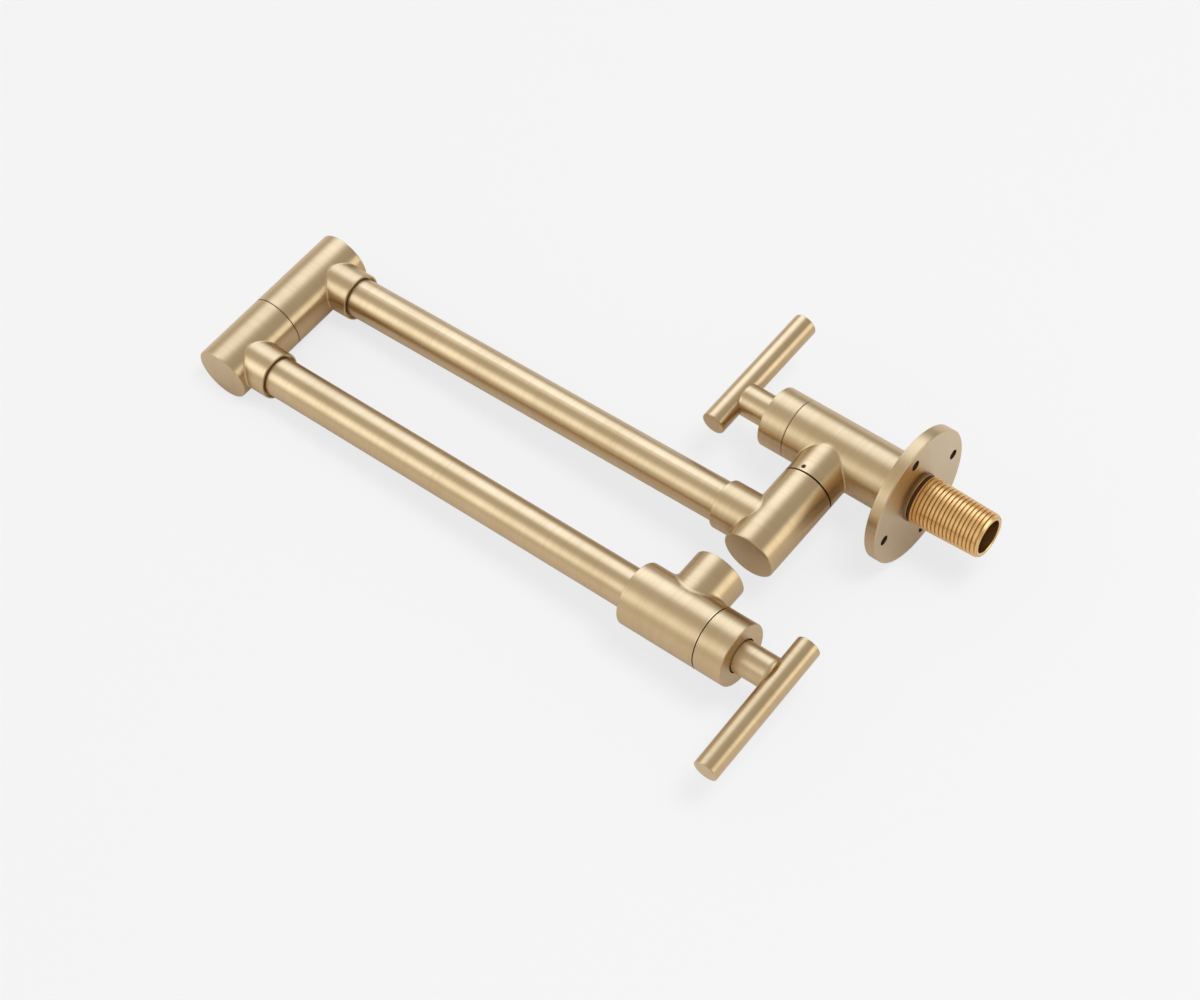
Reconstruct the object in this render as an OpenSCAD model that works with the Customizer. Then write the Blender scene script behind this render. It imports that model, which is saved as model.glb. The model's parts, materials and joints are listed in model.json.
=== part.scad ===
// Wall mounted pot filler: two folding arms, a quarter turn valve at the wall
// and another at the spout. The origin is the centre of the flange's wall face.
// +Y points into the wall, -Y out into the room, and +Z is up.

/* [Pose as stored] */
// Turn of the first arm about the elbow, away from square to the wall
arm_1_turn = 2.4; // [-5:0.1:5]
// Turn of the second arm about the mid swivel, away from folded back in line
arm_2_turn = -0.6; // [-5:0.1:5]

/* [Wall flange] */
// Radius of the wall flange
flange_r = 30.5; // [29:0.5:40]
// Thickness of the wall flange
flange_t = 5.2; // [4:0.2:8]
// Radius of the circle of screw holes
screw_circle_r = 24.1; // [22:0.1:25]
// Radius of a screw hole
screw_hole_r = 2.25; // [1.5:0.05:2.75]
// Number of screw holes
screw_count = 4; // [2:1:8]
// Turn of the screw holes away from upright
screw_turn = 5; // [0:1:45]

/* [Inlet shank] */
// Radius over the threads at their large end
thread_r = 10.65; // [10.3:0.05:10.7]
// Distance from one thread to the next
thread_pitch = 1.814; // [1.5:0.002:2]
// Depth of the threads
thread_depth = 1.15; // [0.6:0.05:1.3]
// Number of threads
thread_count = 17; // [10:1:24]
// Radius of the bore for the water
shank_bore_r = 7.4; // [6:0.1:7.6]
// Length of the plain neck outside the flange
neck_len = 1.5; // [1:0.1:3]
// Length of the relief between the neck and the threads
relief_len = 1.4; // [1:0.1:3]
// Radius of the plain neck
neck_r = 10.8; // [10.6:0.1:12]

/* [Valve bodies] */
// Radius of the inlet valve's body
inlet_r = 13.5; // [13:0.1:15]
// Distance from the flange to the joint between inlet body and bonnet
inlet_body_len = 53.8; // [53:0.1:60]
// Length of the inlet bonnet
inlet_bonnet_len = 12.5; // [12:0.1:16]
// Radius of the outlet valve's body
outlet_r = 14; // [13:0.1:15]
// Length of the outlet valve's body
outlet_body_len = 38.2; // [37:0.1:44]
// Length of the outlet bonnet
outlet_bonnet_len = 13.9; // [13:0.1:16]
// Distance from the inlet body's joint back to the axis of the branch
branch_place = 20; // [18:0.1:22]

/* [Swivels and arms] */
// Radius of the branch, the elbow and the spout
branch_r = 12; // [11.6:0.1:12.8]
// Height of the branch above the inlet valve's axis
branch_h = 22.6; // [22:0.1:28]
// Dark gap at the elbow's joint
elbow_gap = 0.8; // [0.5:0.1:1.5]
// Height of the first tube's axis above the branch
tube_1_rise = 24.3; // [22:0.1:30]
// Height of the elbow's top above the first tube's axis
elbow_top = 15.4; // [13:0.1:18]
// Radius of the arm tubes
tube_r = 9; // [8.6:0.1:9.4]
// Wall of the arm tubes
tube_wall = 1; // [0.6:0.1:1.2]
// Radius of the collars that hold the tubes
collar_r = 10.8; // [10.5:0.1:11.2]
// Distance from the elbow's axis to the mid swivel's axis
arm_1_len = 250; // [150:1:400]
// Distance from the mid swivel's axis to the spout's axis
arm_2_len = 244.5; // [150:1:400]
// Distance from the elbow's axis to its collar's rim
elbow_reach = 23.4; // [21:0.1:30]
// Radius of the mid swivel's body
mid_r = 13; // [12.4:0.1:14]
// Distance from the mid swivel's axis to its collars' rims
mid_reach = 22.5; // [21:0.1:30]
// Distance from a mid body's closed end to its tube's axis
mid_end = 13.75; // [12.5:0.05:16]
// Height of the mid swivel's joint above the first tube's axis
mid_lower_rise = 31.3; // [30:0.1:40]
// Height of the second tube's axis above the mid swivel's joint
mid_upper_rise = 21.9; // [21:0.1:30]
// Thin line at the mid swivel's joint
mid_gap = 0.4; // [0.2:0.05:0.6]

/* [Spout] */
// Distance from the outlet valve's axis down to the spout's end
spout_drop = 26.4; // [26:0.1:36]
// Distance from the outlet body's joint back to the spout's axis
spout_place = 17.1; // [16.5:0.1:19]

/* [Handles] */
// Radius of a handle bar
bar_r = 5.45; // [4.5:0.05:5.8]
// Length of the inlet bar from the hub's axis to its far end
inlet_bar_long = 46; // [30:0.5:70]
// Length of the outlet bar from the hub's axis to its far end
outlet_bar_long = 48.5; // [30:0.5:70]
// Length of a bar from the hub's axis to its near end
bar_short = 18.3; // [12:0.1:30]
// Radius of a handle hub
hub_r = 7.2; // [6.8:0.05:7.6]
// Distance from the bonnet's face to the bar's axis
hub_reach = 19.2; // [17:0.1:26]
// Turn of the outlet handle off square, as photographed
outlet_handle_turn = 2.4; // [0:0.1:10]
// Clear ring between a hub and its bonnet
hub_clear = 0.6; // [0.3:0.05:1]

/* [Fits] */
// Gap all round between pieces that are fixed to each other
fit_gap = 0.04; // [0.02:0.01:0.06]
// Gap all round between pieces that turn on each other
run_gap = 0.05; // [0.03:0.01:0.08]
// Thin line between a bonnet and its body
bonnet_gap = 0.25; // [0.15:0.05:0.4]

/* [Hidden] */
$fn = 96;

// Overrun of every cut past the face that it opens
cut = 1;
// Rounding of the outer edges
edge_r = 0.5;
// Rounding of the closed ends of the swivel bodies
end_edge_r = 0.8;
// Steps in each rounded edge
edge_steps = 5;

// Places along the wall normal and upwards
flange_front_y = -flange_t;
inlet_split_y = flange_front_y - inlet_body_len;
elbow_y = inlet_split_y + branch_place;
elbow_z = branch_h + elbow_gap;
tube_1_z = branch_h + tube_1_rise;
elbow_top_z = tube_1_z + elbow_top;
mid_split_z = tube_1_z + mid_lower_rise;
tube_2_z = mid_split_z + mid_upper_rise;
outlet_split = arm_2_len + spout_place;

// Thread shape: a flat crest and the taper of a taper pipe thread
thread_start_y = neck_len + relief_len;
thread_end_y = thread_start_y + thread_count * thread_pitch;
thread_taper_share = 1 / 32;
thread_crest_share = 0.16;
thread_flank_share = 0.38;
relief_r = thread_r - thread_depth;
shank_end_chamfer = 0.8;

// Shank inside the body
shank_in_len = 12.8;
shank_in_r = 10.2;
seal_t = 1.5;
seal_bore_r = 6.4;
passage_r = 6;

// Cartridge, measured along the valve's axis from the joint with the bonnet
chamber_r = 10;
cart_depth = 28;
cart_thread_r = chamber_r - fit_gap;
cart_thread_len = 9;
cart_low_r = 8.6;
cart_low_bore_r = 7.5;
cart_wall_bore_r = 4.5;
cart_seal_t = 2;
cart_seal_bore_r = 5.4;
spigot_h = 4;
spigot_r = 11.8;
head_t = 2.5;
head_r = 11.2;
neck_top = 8;
cart_neck_r = 5.6;
disc_low = -cart_depth + cart_seal_t;
disc_t = 3;
film_gap = 0.02;
disc_r = cart_low_bore_r - run_gap;
waterway_shares = [[0.22, 0], [0.66, -0.42], [0.74, 0], [0.66, 0.42]];
foot_low = disc_low + 2 * disc_t + film_gap;
window_low = -22;
window_top = -17.2;
window_w = 9;
groove_depth = 1.2;
ring_r = 0.75;
cart_ring_place = -11.2;
cart_groove_r = cart_low_r - ring_r;
cart_ring_s = (chamber_r - cart_groove_r) / 2 - fit_gap;
spindle_foot_t = 3;
spindle_r = cart_wall_bore_r - run_gap;
spindle_top_r = 3.9;
spindle_ring_place = -5;
clip_t = 0.8;
clip_r = 5.8;
clip_groove_depth = 0.8;
spindle_top = 19.5;
hub_rise = 1.25;

// Handle
bonnet_wall = 2.5;
hub_base = neck_top + hub_rise;
hub_edge_r = 1.9;
// A hub stops this far short of its bar's axis
hub_short = 2.8;
stud_r = 2.5;
stud_in_bar = 3.5;
stud_in_hub = 6.5;
grub_r = 2;
grub_place = 2.6;
grub_sink = 0.2;
grub_socket_r = 1.1;
grub_socket_depth = 1.6;
bar_edge_r = 0.5;

// Swivels: a stub turns in a bore of radius stub_r on two seal rings
stub_r = 8.6;
stub_bore_r = 5.5;
stub_low_gap = 0.8;
stub_top_gap = 1.5;
elbow_stub_low = chamber_r + stub_low_gap;
elbow_stub_top = tube_1_z - tube_r - stub_top_gap;
elbow_ring_first = 2;
elbow_ring_space = 3.2;
elbow_rings = [
  elbow_stub_low + elbow_ring_first,
  elbow_stub_low + elbow_ring_first + elbow_ring_space
];
elbow_chamber_r = 9.2;
socket_wall = 1.9;
outlet_socket = outlet_body_len - cart_depth - socket_wall;
rim_relief_gap = 0.9;
rim_relief_r = tube_r + rim_relief_gap;
rim_relief_depth = 1.4;
tube_start = 12.6;
end_wall = 3.4;
screw_r = 1;
screw_socket_r = 0.55;
screw_socket_depth = 0.8;
screw_sink = 0.5;
screw_drop = 1.9;
screw_place_z = branch_h - screw_drop;
screw_tip_gap = 0.1;
screw_angle = 193;
screw_groove_w = 2.8;
mid_stub_low_gap = 2.3;
mid_stub_top_gap = 1.9;
mid_stub_low = tube_1_z + tube_r + mid_stub_low_gap;
mid_stub_top = tube_2_z - tube_r - mid_stub_top_gap;
mid_ring_first = 2.4;
mid_ring_space = 4;
mid_rings = [
  mid_stub_low + mid_ring_first,
  mid_stub_low + mid_ring_first + mid_ring_space
];
washer_sink = 0.5;
washer_gap = 0.3;
washer_in_r = stub_r + washer_gap;
snap_ring_h = 1.2;
snap_ring_gap = 3;
snap_ring_out = 1.1;
snap_ring_place = 5.2;
snap_ring_play = 0.1;
snap_z = mid_split_z - snap_ring_place;

// Aerator
mouth_r = 10;
aerator_sink = 0.6;
aerator_wall = 1.35;
aerator_h = 8;
aerator_low = spout_drop - aerator_sink;
insert_h = 4;
insert_sink = 0.4;
insert_hole_r = 0.7;
insert_rows = 3;
insert_rim = 1.45;
insert_pitch = (mouth_r - aerator_wall - insert_rim) / insert_rows;
insert_row_step = 6;
aerator_washer_t = 1.5;
mouth_depth = aerator_sink + aerator_h + aerator_washer_t;

// Colours
satin_gold = "#c9ab7c";
raw_brass = "#c58f43";
plain_brass = "#b5a067";
black_rubber = "#1b1b1b";
white_ceramic = "#ecebe4";
steel_grey = "#9a9a9a";
white_plastic = "#dadad6";

// Points of a quarter round edge about c, from angle a to angle a + 90
function round_edge(c, r, a) = [
  for (i = [0 : edge_steps])
    c + r * [cos(a + i * 90 / edge_steps), sin(a + i * 90 / edge_steps)]
];

// Rod from z0 to z1, its edges rounded by e0 at z0 and by e1 at z1
module rod(r, z0, z1, e0 = edge_r, e1 = edge_r) {
  rotate_extrude()
    polygon(concat(
      [[0, z0]],
      e0 > 0 ? round_edge([r - e0, z0 + e0], e0, -90) : [[r, z0]],
      e1 > 0 ? round_edge([r - e1, z1 - e1], e1, 0) : [[r, z1]],
      [[0, z1]]
    ));
}

// Plain ring from z0 to z1
module ring(r_out, r_in, z0, z1) {
  rotate_extrude()
    translate([r_in, z0])
      square([r_out - r_in, z1 - z0]);
}

// Bore along Z from z0 to z1
module bore(r, z0, z1) {
  translate([0, 0, z0])
    cylinder(r = r, h = z1 - z0);
}

// Round seal ring of section radius s whose centre line has radius r
module seal_ring(r, s, z) {
  rotate_extrude()
    translate([r, z])
      circle(r = s);
}

// Placement of what turns with the first arm
module on_arm_1() {
  translate([0, elbow_y, 0])
    rotate([0, 0, arm_1_turn])
      children();
}

// Placement of what turns with the second arm, from the mid swivel's axis
module on_arm_2() {
  on_arm_1()
    translate([0, -arm_1_len, 0])
      rotate([0, 0, arm_2_turn])
        children();
}

// Turns +Z to +Y, so a round piece lies along the wall normal
module along_y() {
  rotate([-90, 0, 0])
    children();
}

// Inlet valve: +Z of the valve points out to the handle, +X of it down
module at_inlet_valve() {
  translate([0, inlet_split_y, 0])
    rotate([90, 0, 0])
      rotate([0, 0, -90])
        children();
}

// Outlet valve: +Z of the valve points out to the handle, +X of it up
module at_outlet_valve() {
  on_arm_2()
    translate([0, outlet_split, tube_2_z])
      rotate([-90, 0, 0])
        rotate([0, 0, -90])
          children();
}

// Outlet handle: the outlet valve's frame, turned with the handle
module at_outlet_handle() {
  at_outlet_valve()
    rotate([0, 0, outlet_handle_turn])
      children();
}

// Spout: +Z of the spout points down out of its mouth, from the tube's axis
module at_spout() {
  on_arm_2()
    translate([0, arm_2_len, tube_2_z])
      rotate([180, 0, 0])
        children();
}

module wall_flange() {
  color(satin_gold)
    along_y()
      difference() {
        rod(flange_r, flange_front_y, 0);
        bore(neck_r + fit_gap, flange_front_y - cut, cut);
        for (i = [0 : screw_count - 1])
          rotate([0, 0, screw_turn + 90 + i * 360 / screw_count])
            translate([screw_circle_r, 0, 0])
              bore(screw_hole_r, flange_front_y - cut, cut);
      }
}

// Radius of the crests at distance d from the large end of the threads
function crest_r(d) = thread_r - d * thread_taper_share;

// Outline of one thread: up its flank, along its crest and down again
function thread_points(i) =
  let (
    d = i * thread_pitch,
    top = crest_r(d),
    root = top - thread_depth,
    flank = thread_flank_share * thread_pitch,
    crest = thread_crest_share * thread_pitch,
    y = thread_start_y + d
  )
  [
    [top, y],
    [top, y + crest],
    [root, y + crest + flank],
    [root - thread_pitch * thread_taper_share / 2, y + thread_pitch - flank]
  ];

module inlet_shank() {
  y_in = flange_front_y - shank_in_len;
  end_r = crest_r(thread_count * thread_pitch);
  color(raw_brass)
    along_y()
      difference() {
        rotate_extrude()
          polygon(concat(
            [
              [0, y_in],
              [shank_in_r, y_in],
              [shank_in_r, flange_front_y],
              [neck_r, flange_front_y],
              [neck_r, neck_len],
              [relief_r, neck_len],
              [relief_r, thread_start_y]
            ],
            [for (i = [0 : thread_count - 1]) each thread_points(i)],
            [
              [end_r - shank_end_chamfer, thread_end_y],
              [0, thread_end_y]
            ]
          ));
        bore(shank_bore_r, y_in - cut, thread_end_y + cut);
      }
}

module shank_seal() {
  y_seal = flange_front_y - shank_in_len;
  color(black_rubber)
    along_y()
      ring(shank_in_r - fit_gap, seal_bore_r, y_seal - seal_t, y_seal);
}

// Room inside a valve body for its cartridge, along the valve's axis
module cartridge_room() {
  bore(chamber_r, -cart_depth, spigot_h + cut);
}

// Round body of a valve with the spigot that its bonnet sits on
module valve_barrel(r, len, back_edge) {
  rod(r, -len, 0, back_edge, 0);
  bore(spigot_r, -cut, spigot_h);
}

module inlet_valve_body() {
  socket_end = -inlet_body_len + shank_in_len + seal_t;
  color(satin_gold)
    difference() {
      union() {
        at_inlet_valve()
          valve_barrel(inlet_r, inlet_body_len, 0);
        translate([0, elbow_y, 0])
          bore(branch_r, 0, branch_h);
      }
      at_inlet_valve() {
        cartridge_room();
        bore(shank_in_r + fit_gap, -inlet_body_len - cut, socket_end);
        bore(passage_r, -inlet_body_len, 0);
      }
      translate([0, elbow_y, 0]) {
        bore(stub_r, chamber_r / 2, branch_h + cut);
        rotate([0, 0, screw_angle])
          translate([0, 0, screw_place_z])
            rotate([0, 90, 0])
              bore(screw_r + fit_gap, stub_r - cut, branch_r + cut);
      }
    }
}

module swivel_screw() {
  tip = stub_r - groove_depth + screw_tip_gap;
  head = branch_r - screw_sink;
  color(steel_grey)
    translate([0, elbow_y, screw_place_z])
      rotate([0, 0, screw_angle])
        rotate([0, 90, 0])
          difference() {
            bore(screw_r, tip, head);
            translate([0, 0, head - screw_socket_depth])
              cylinder(r = screw_socket_r, h = screw_socket_depth + cut, $fn = 6);
          }
}

// Parts of one quarter turn valve, +Z along its axis out to the handle

module bonnet(r, len) {
  difference() {
    rod(r, bonnet_gap, len);
    bore(spigot_r + fit_gap, bonnet_gap - cut, len - bonnet_wall);
    bore(hub_r + hub_clear, 0, len + cut);
  }
}

module cartridge_body() {
  difference() {
    union() {
      bore(cart_low_r, disc_low, -cart_thread_len);
      bore(cart_thread_r, -cart_thread_len, spigot_h);
      translate([0, 0, spigot_h])
        cylinder(r = head_r, h = head_t, $fn = 6);
      bore(cart_neck_r, spigot_h + head_t, neck_top);
    }
    bore(cart_low_bore_r, disc_low - cut, foot_low + spindle_foot_t + run_gap);
    bore(cart_wall_bore_r, disc_low, neck_top + cut);
    for (side = [0, 180])
      rotate([0, 0, side])
        translate([0, -window_w / 2, window_low])
          cube([cart_low_r + cut, window_w, window_top - window_low]);
    ring(cart_low_r + cut, cart_groove_r, cart_ring_place - cart_ring_s - fit_gap,
         cart_ring_place + cart_ring_s + fit_gap);
  }
}

module cartridge_seal() {
  ring(cart_low_r, cart_seal_bore_r, -cart_depth, disc_low);
}

module cartridge_ring() {
  seal_ring((cart_groove_r + chamber_r) / 2, cart_ring_s, cart_ring_place);
}

// Ceramic disc from z0, cut away to a bow tie of two waterways
module disc(z0, turn) {
  difference() {
    bore(disc_r, z0, z0 + disc_t);
    rotate([0, 0, turn])
      for (side = [0, 180])
        rotate([0, 0, side])
          translate([0, 0, z0 - cut])
            linear_extrude(disc_t + 2 * cut)
              polygon(disc_r * waterway_shares);
  }
}

module spindle() {
  shoulder = neck_top + run_gap + clip_t + fit_gap;
  difference() {
    union() {
      bore(disc_r, foot_low, foot_low + spindle_foot_t);
      bore(spindle_r, foot_low, shoulder);
      bore(spindle_top_r, foot_low, spindle_top);
    }
    ring(spindle_r + cut, spindle_r - groove_depth,
         spindle_ring_place - ring_r - fit_gap, spindle_ring_place + ring_r + fit_gap);
    ring(spindle_r + cut, spindle_r - clip_groove_depth,
         neck_top + run_gap, neck_top + run_gap + clip_t);
  }
}

module spindle_ring() {
  s = (groove_depth + run_gap - fit_gap) / 2;
  seal_ring(spindle_r - groove_depth + fit_gap / 2 + s, s, spindle_ring_place);
}

module spindle_clip() {
  z0 = neck_top + run_gap;
  difference() {
    ring(clip_r, spindle_r - clip_groove_depth + fit_gap, z0 + fit_gap / 2,
         z0 + clip_t - fit_gap / 2);
    translate([0, -clip_t, z0 - cut])
      cube([clip_r + cut, 2 * clip_t, clip_t + 2 * cut]);
  }
}

module handle_hub(len) {
  bar_z = len + hub_reach;
  difference() {
    rod(hub_r, hub_base, bar_z - hub_short, 0, hub_edge_r);
    bore(spindle_top_r + fit_gap, hub_base - cut, spindle_top + fit_gap);
    bore(stud_r + fit_gap, spindle_top, bar_z + cut);
    translate([0, 0, bar_z])
      rotate([0, 90, 0])
        bore(bar_r + fit_gap, -hub_r - cut, hub_r + cut);
    translate([0, 0, len + grub_place])
      rotate([-90, 0, 0])
        bore(grub_r + fit_gap, 0, hub_r + cut);
  }
}

module handle_bar(len, long) {
  translate([0, 0, len + hub_reach])
    difference() {
      rotate([0, 90, 0])
        rod(bar_r, -bar_short, long, bar_edge_r, bar_edge_r);
      bore(stud_r + fit_gap, -bar_r - cut, stud_in_bar - bar_r + fit_gap);
    }
}

module bar_stud(len) {
  seat = len + hub_reach - bar_r;
  bore(stud_r, seat - stud_in_hub, seat + stud_in_bar);
}

module grub_screw(len) {
  head = hub_r - grub_sink;
  translate([0, 0, len + grub_place])
    rotate([-90, 0, 0])
      difference() {
        bore(grub_r, spindle_top_r + fit_gap, head);
        translate([0, 0, head - grub_socket_depth])
          cylinder(r = grub_socket_r, h = grub_socket_depth + cut, $fn = 6);
      }
}

// Stub of a swivel from z0 to z1 with two grooves for seal rings
module stub(z0, z1, ring_places) {
  difference() {
    bore(stub_r - run_gap, z0, z1);
    bore(stub_bore_r, z0 - cut, z1 + cut);
    for (z = ring_places)
      ring(stub_r + cut, stub_r - run_gap - groove_depth,
           z - ring_r - fit_gap, z + ring_r + fit_gap);
  }
}

// Seal rings that fill the grooves of a stub but for the running gap
module stub_rings(ring_places) {
  s = (groove_depth - fit_gap) / 2;
  for (z = ring_places)
    seal_ring(stub_r - run_gap - groove_depth + fit_gap / 2 + s, s, z);
}

// Collar on a swivel body, out along +Y of the child frame to its rim
module collar(reach) {
  along_y()
    rod(collar_r, 0, reach, 0, edge_r);
}

// Cuts of a collar: socket for the tube, relief round the rim and waterway
module collar_cuts(reach) {
  along_y() {
    bore(tube_r + fit_gap, tube_start - fit_gap, reach + cut);
    bore(rim_relief_r, reach - rim_relief_depth, reach + cut);
    bore(tube_r - tube_wall, 0, reach);
  }
}

module elbow_stub() {
  color(plain_brass)
    on_arm_1()
      difference() {
        stub(elbow_stub_low, elbow_stub_top, elbow_rings);
        ring(stub_r + cut, stub_r - groove_depth,
             screw_place_z - screw_groove_w / 2, screw_place_z + screw_groove_w / 2);
      }
}

module elbow_stub_rings() {
  color(black_rubber)
    on_arm_1()
      stub_rings(elbow_rings);
}

module elbow_washer() {
  color(black_rubber)
    on_arm_1()
      ring(branch_r - elbow_gap, washer_in_r, branch_h + run_gap, elbow_z);
}

module elbow_body() {
  color(satin_gold)
    on_arm_1()
      difference() {
        union() {
          rod(branch_r, elbow_z, elbow_top_z, 0, end_edge_r);
          translate([0, 0, tube_1_z])
            rotate([0, 0, 180])
              collar(elbow_reach);
        }
        bore(stub_r - run_gap + fit_gap, elbow_z - cut, elbow_stub_top);
        bore(elbow_chamber_r, elbow_stub_top, elbow_top_z - end_wall);
        translate([0, 0, tube_1_z])
          rotate([0, 0, 180])
            collar_cuts(elbow_reach);
      }
}

// Arm tube along +Y from its start to its end
module arm_tube(start, end) {
  along_y()
    ring(tube_r, tube_r - tube_wall, start, end);
}

module first_tube() {
  color(satin_gold)
    on_arm_1()
      translate([0, 0, tube_1_z])
        rotate([0, 0, 180])
          arm_tube(tube_start, arm_1_len - tube_start);
}

module mid_lower_body() {
  low = tube_1_z - mid_end;
  top = mid_split_z - mid_gap / 2;
  color(satin_gold)
    on_arm_1()
      translate([0, -arm_1_len, 0])
        difference() {
          union() {
            rod(mid_r, low, top, end_edge_r, 0);
            translate([0, 0, tube_1_z])
              collar(mid_reach);
          }
          bore(elbow_chamber_r, low + end_wall, mid_stub_low);
          bore(stub_r, mid_stub_low - cut, top + cut);
          ring(mid_r - washer_sink, stub_r - cut, top - washer_sink, top + cut);
          ring(stub_r + snap_ring_out + snap_ring_play, stub_r - cut,
               snap_z - snap_ring_play, snap_z + snap_ring_h + snap_ring_play);
          translate([0, 0, tube_1_z])
            collar_cuts(mid_reach);
        }
}

module mid_washer() {
  top = mid_split_z + mid_gap / 2 - run_gap;
  color(black_rubber)
    on_arm_1()
      translate([0, -arm_1_len, 0])
        ring(mid_r - washer_sink - fit_gap, washer_in_r,
             mid_split_z - mid_gap / 2 - washer_sink, top);
}

module mid_stub() {
  color(plain_brass)
    on_arm_2()
      difference() {
        stub(mid_stub_low, mid_stub_top, mid_rings);
        ring(stub_r + cut, stub_r - groove_depth, snap_z, snap_z + snap_ring_h);
      }
}

module mid_stub_rings() {
  color(black_rubber)
    on_arm_2()
      stub_rings(mid_rings);
}

module mid_snap_ring() {
  color(steel_grey)
    on_arm_2()
      difference() {
        ring(stub_r + snap_ring_out, stub_r - groove_depth + fit_gap,
             snap_z + fit_gap / 2, snap_z + snap_ring_h - fit_gap / 2);
        translate([0, -snap_ring_gap / 2, snap_z - cut])
          cube([mid_r, snap_ring_gap, snap_ring_h + 2 * cut]);
      }
}

module mid_upper_body() {
  low = mid_split_z + mid_gap / 2;
  top = tube_2_z + mid_end;
  color(satin_gold)
    on_arm_2()
      difference() {
        union() {
          rod(mid_r, low, top, 0, end_edge_r);
          translate([0, 0, tube_2_z])
            collar(mid_reach);
        }
        bore(stub_r - run_gap + fit_gap, low - cut, mid_stub_top);
        bore(elbow_chamber_r, mid_stub_top, top - end_wall);
        translate([0, 0, tube_2_z])
          collar_cuts(mid_reach);
      }
}

module second_tube() {
  color(satin_gold)
    on_arm_2()
      translate([0, 0, tube_2_z])
        arm_tube(tube_start, outlet_split - outlet_body_len + outlet_socket);
}

module outlet_valve_body() {
  socket_end = -outlet_body_len + outlet_socket + fit_gap;
  color(satin_gold)
    difference() {
      union() {
        at_outlet_valve()
          valve_barrel(outlet_r, outlet_body_len, edge_r);
        at_spout()
          rod(branch_r, 0, spout_drop, 0, edge_r);
      }
      at_outlet_valve() {
        cartridge_room();
        bore(tube_r + fit_gap, -outlet_body_len - cut, socket_end);
        bore(passage_r, -outlet_body_len, 0);
      }
      at_spout() {
        bore(mouth_r - aerator_wall, chamber_r / 2, spout_drop);
        bore(mouth_r, spout_drop - mouth_depth, spout_drop + cut);
      }
    }
}

module aerator_housing() {
  color(plain_brass)
    at_spout()
      ring(mouth_r - fit_gap, mouth_r - aerator_wall,
           aerator_low - aerator_h, aerator_low);
}

// Stream former with rings of fine holes
module aerator_insert() {
  low = aerator_low - insert_sink;
  color(white_plastic)
    at_spout()
      difference() {
        bore(mouth_r - aerator_wall - fit_gap, low - insert_h, low);
        bore(insert_hole_r, low - insert_h - cut, low + cut);
        for (row = [1 : insert_rows])
          for (i = [0 : row * insert_row_step - 1])
            rotate([0, 0, i * 360 / (row * insert_row_step)])
              translate([row * insert_pitch, 0, 0])
                bore(insert_hole_r, low - insert_h - cut, low + cut);
      }
}

module aerator_washer() {
  top = aerator_low - aerator_h;
  color(black_rubber)
    at_spout()
      ring(mouth_r - fit_gap, seal_bore_r, top - aerator_washer_t, top);
}

// Nodes of the inlet valve

module inlet_bonnet() {
  color(satin_gold)
    at_inlet_valve()
      bonnet(inlet_r, inlet_bonnet_len);
}

module inlet_cartridge_body() {
  color(plain_brass)
    at_inlet_valve()
      cartridge_body();
}

module inlet_cartridge_seal() {
  color(black_rubber)
    at_inlet_valve()
      cartridge_seal();
}

module inlet_cartridge_ring() {
  color(black_rubber)
    at_inlet_valve()
      cartridge_ring();
}

module inlet_fixed_disc() {
  color(white_ceramic)
    at_inlet_valve()
      disc(disc_low, 0);
}

module inlet_moving_disc() {
  color(white_ceramic)
    at_inlet_valve()
      disc(disc_low + disc_t + film_gap, 90);
}

module inlet_spindle() {
  color(plain_brass)
    at_inlet_valve()
      spindle();
}

module inlet_spindle_ring() {
  color(black_rubber)
    at_inlet_valve()
      spindle_ring();
}

module inlet_spindle_clip() {
  color(steel_grey)
    at_inlet_valve()
      spindle_clip();
}

module inlet_handle_hub() {
  color(satin_gold)
    at_inlet_valve()
      handle_hub(inlet_bonnet_len);
}

module inlet_handle_bar() {
  color(satin_gold)
    at_inlet_valve()
      handle_bar(inlet_bonnet_len, inlet_bar_long);
}

module inlet_bar_stud() {
  color(steel_grey)
    at_inlet_valve()
      bar_stud(inlet_bonnet_len);
}

module inlet_grub_screw() {
  color(steel_grey)
    at_inlet_valve()
      grub_screw(inlet_bonnet_len);
}

// Nodes of the outlet valve

module outlet_bonnet() {
  color(satin_gold)
    at_outlet_valve()
      bonnet(outlet_r, outlet_bonnet_len);
}

module outlet_cartridge_body() {
  color(plain_brass)
    at_outlet_valve()
      cartridge_body();
}

module outlet_cartridge_seal() {
  color(black_rubber)
    at_outlet_valve()
      cartridge_seal();
}

module outlet_cartridge_ring() {
  color(black_rubber)
    at_outlet_valve()
      cartridge_ring();
}

module outlet_fixed_disc() {
  color(white_ceramic)
    at_outlet_valve()
      disc(disc_low, 0);
}

module outlet_moving_disc() {
  color(white_ceramic)
    at_outlet_valve()
      disc(disc_low + disc_t + film_gap, 90);
}

module outlet_spindle() {
  color(plain_brass)
    at_outlet_valve()
      spindle();
}

module outlet_spindle_ring() {
  color(black_rubber)
    at_outlet_valve()
      spindle_ring();
}

module outlet_spindle_clip() {
  color(steel_grey)
    at_outlet_valve()
      spindle_clip();
}

module outlet_handle_hub() {
  color(satin_gold)
    at_outlet_handle()
      handle_hub(outlet_bonnet_len);
}

module outlet_handle_bar() {
  color(satin_gold)
    at_outlet_handle()
      handle_bar(outlet_bonnet_len, outlet_bar_long);
}

module outlet_bar_stud() {
  color(steel_grey)
    at_outlet_handle()
      bar_stud(outlet_bonnet_len);
}

module outlet_grub_screw() {
  color(steel_grey)
    at_outlet_handle()
      grub_screw(outlet_bonnet_len);
}

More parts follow.
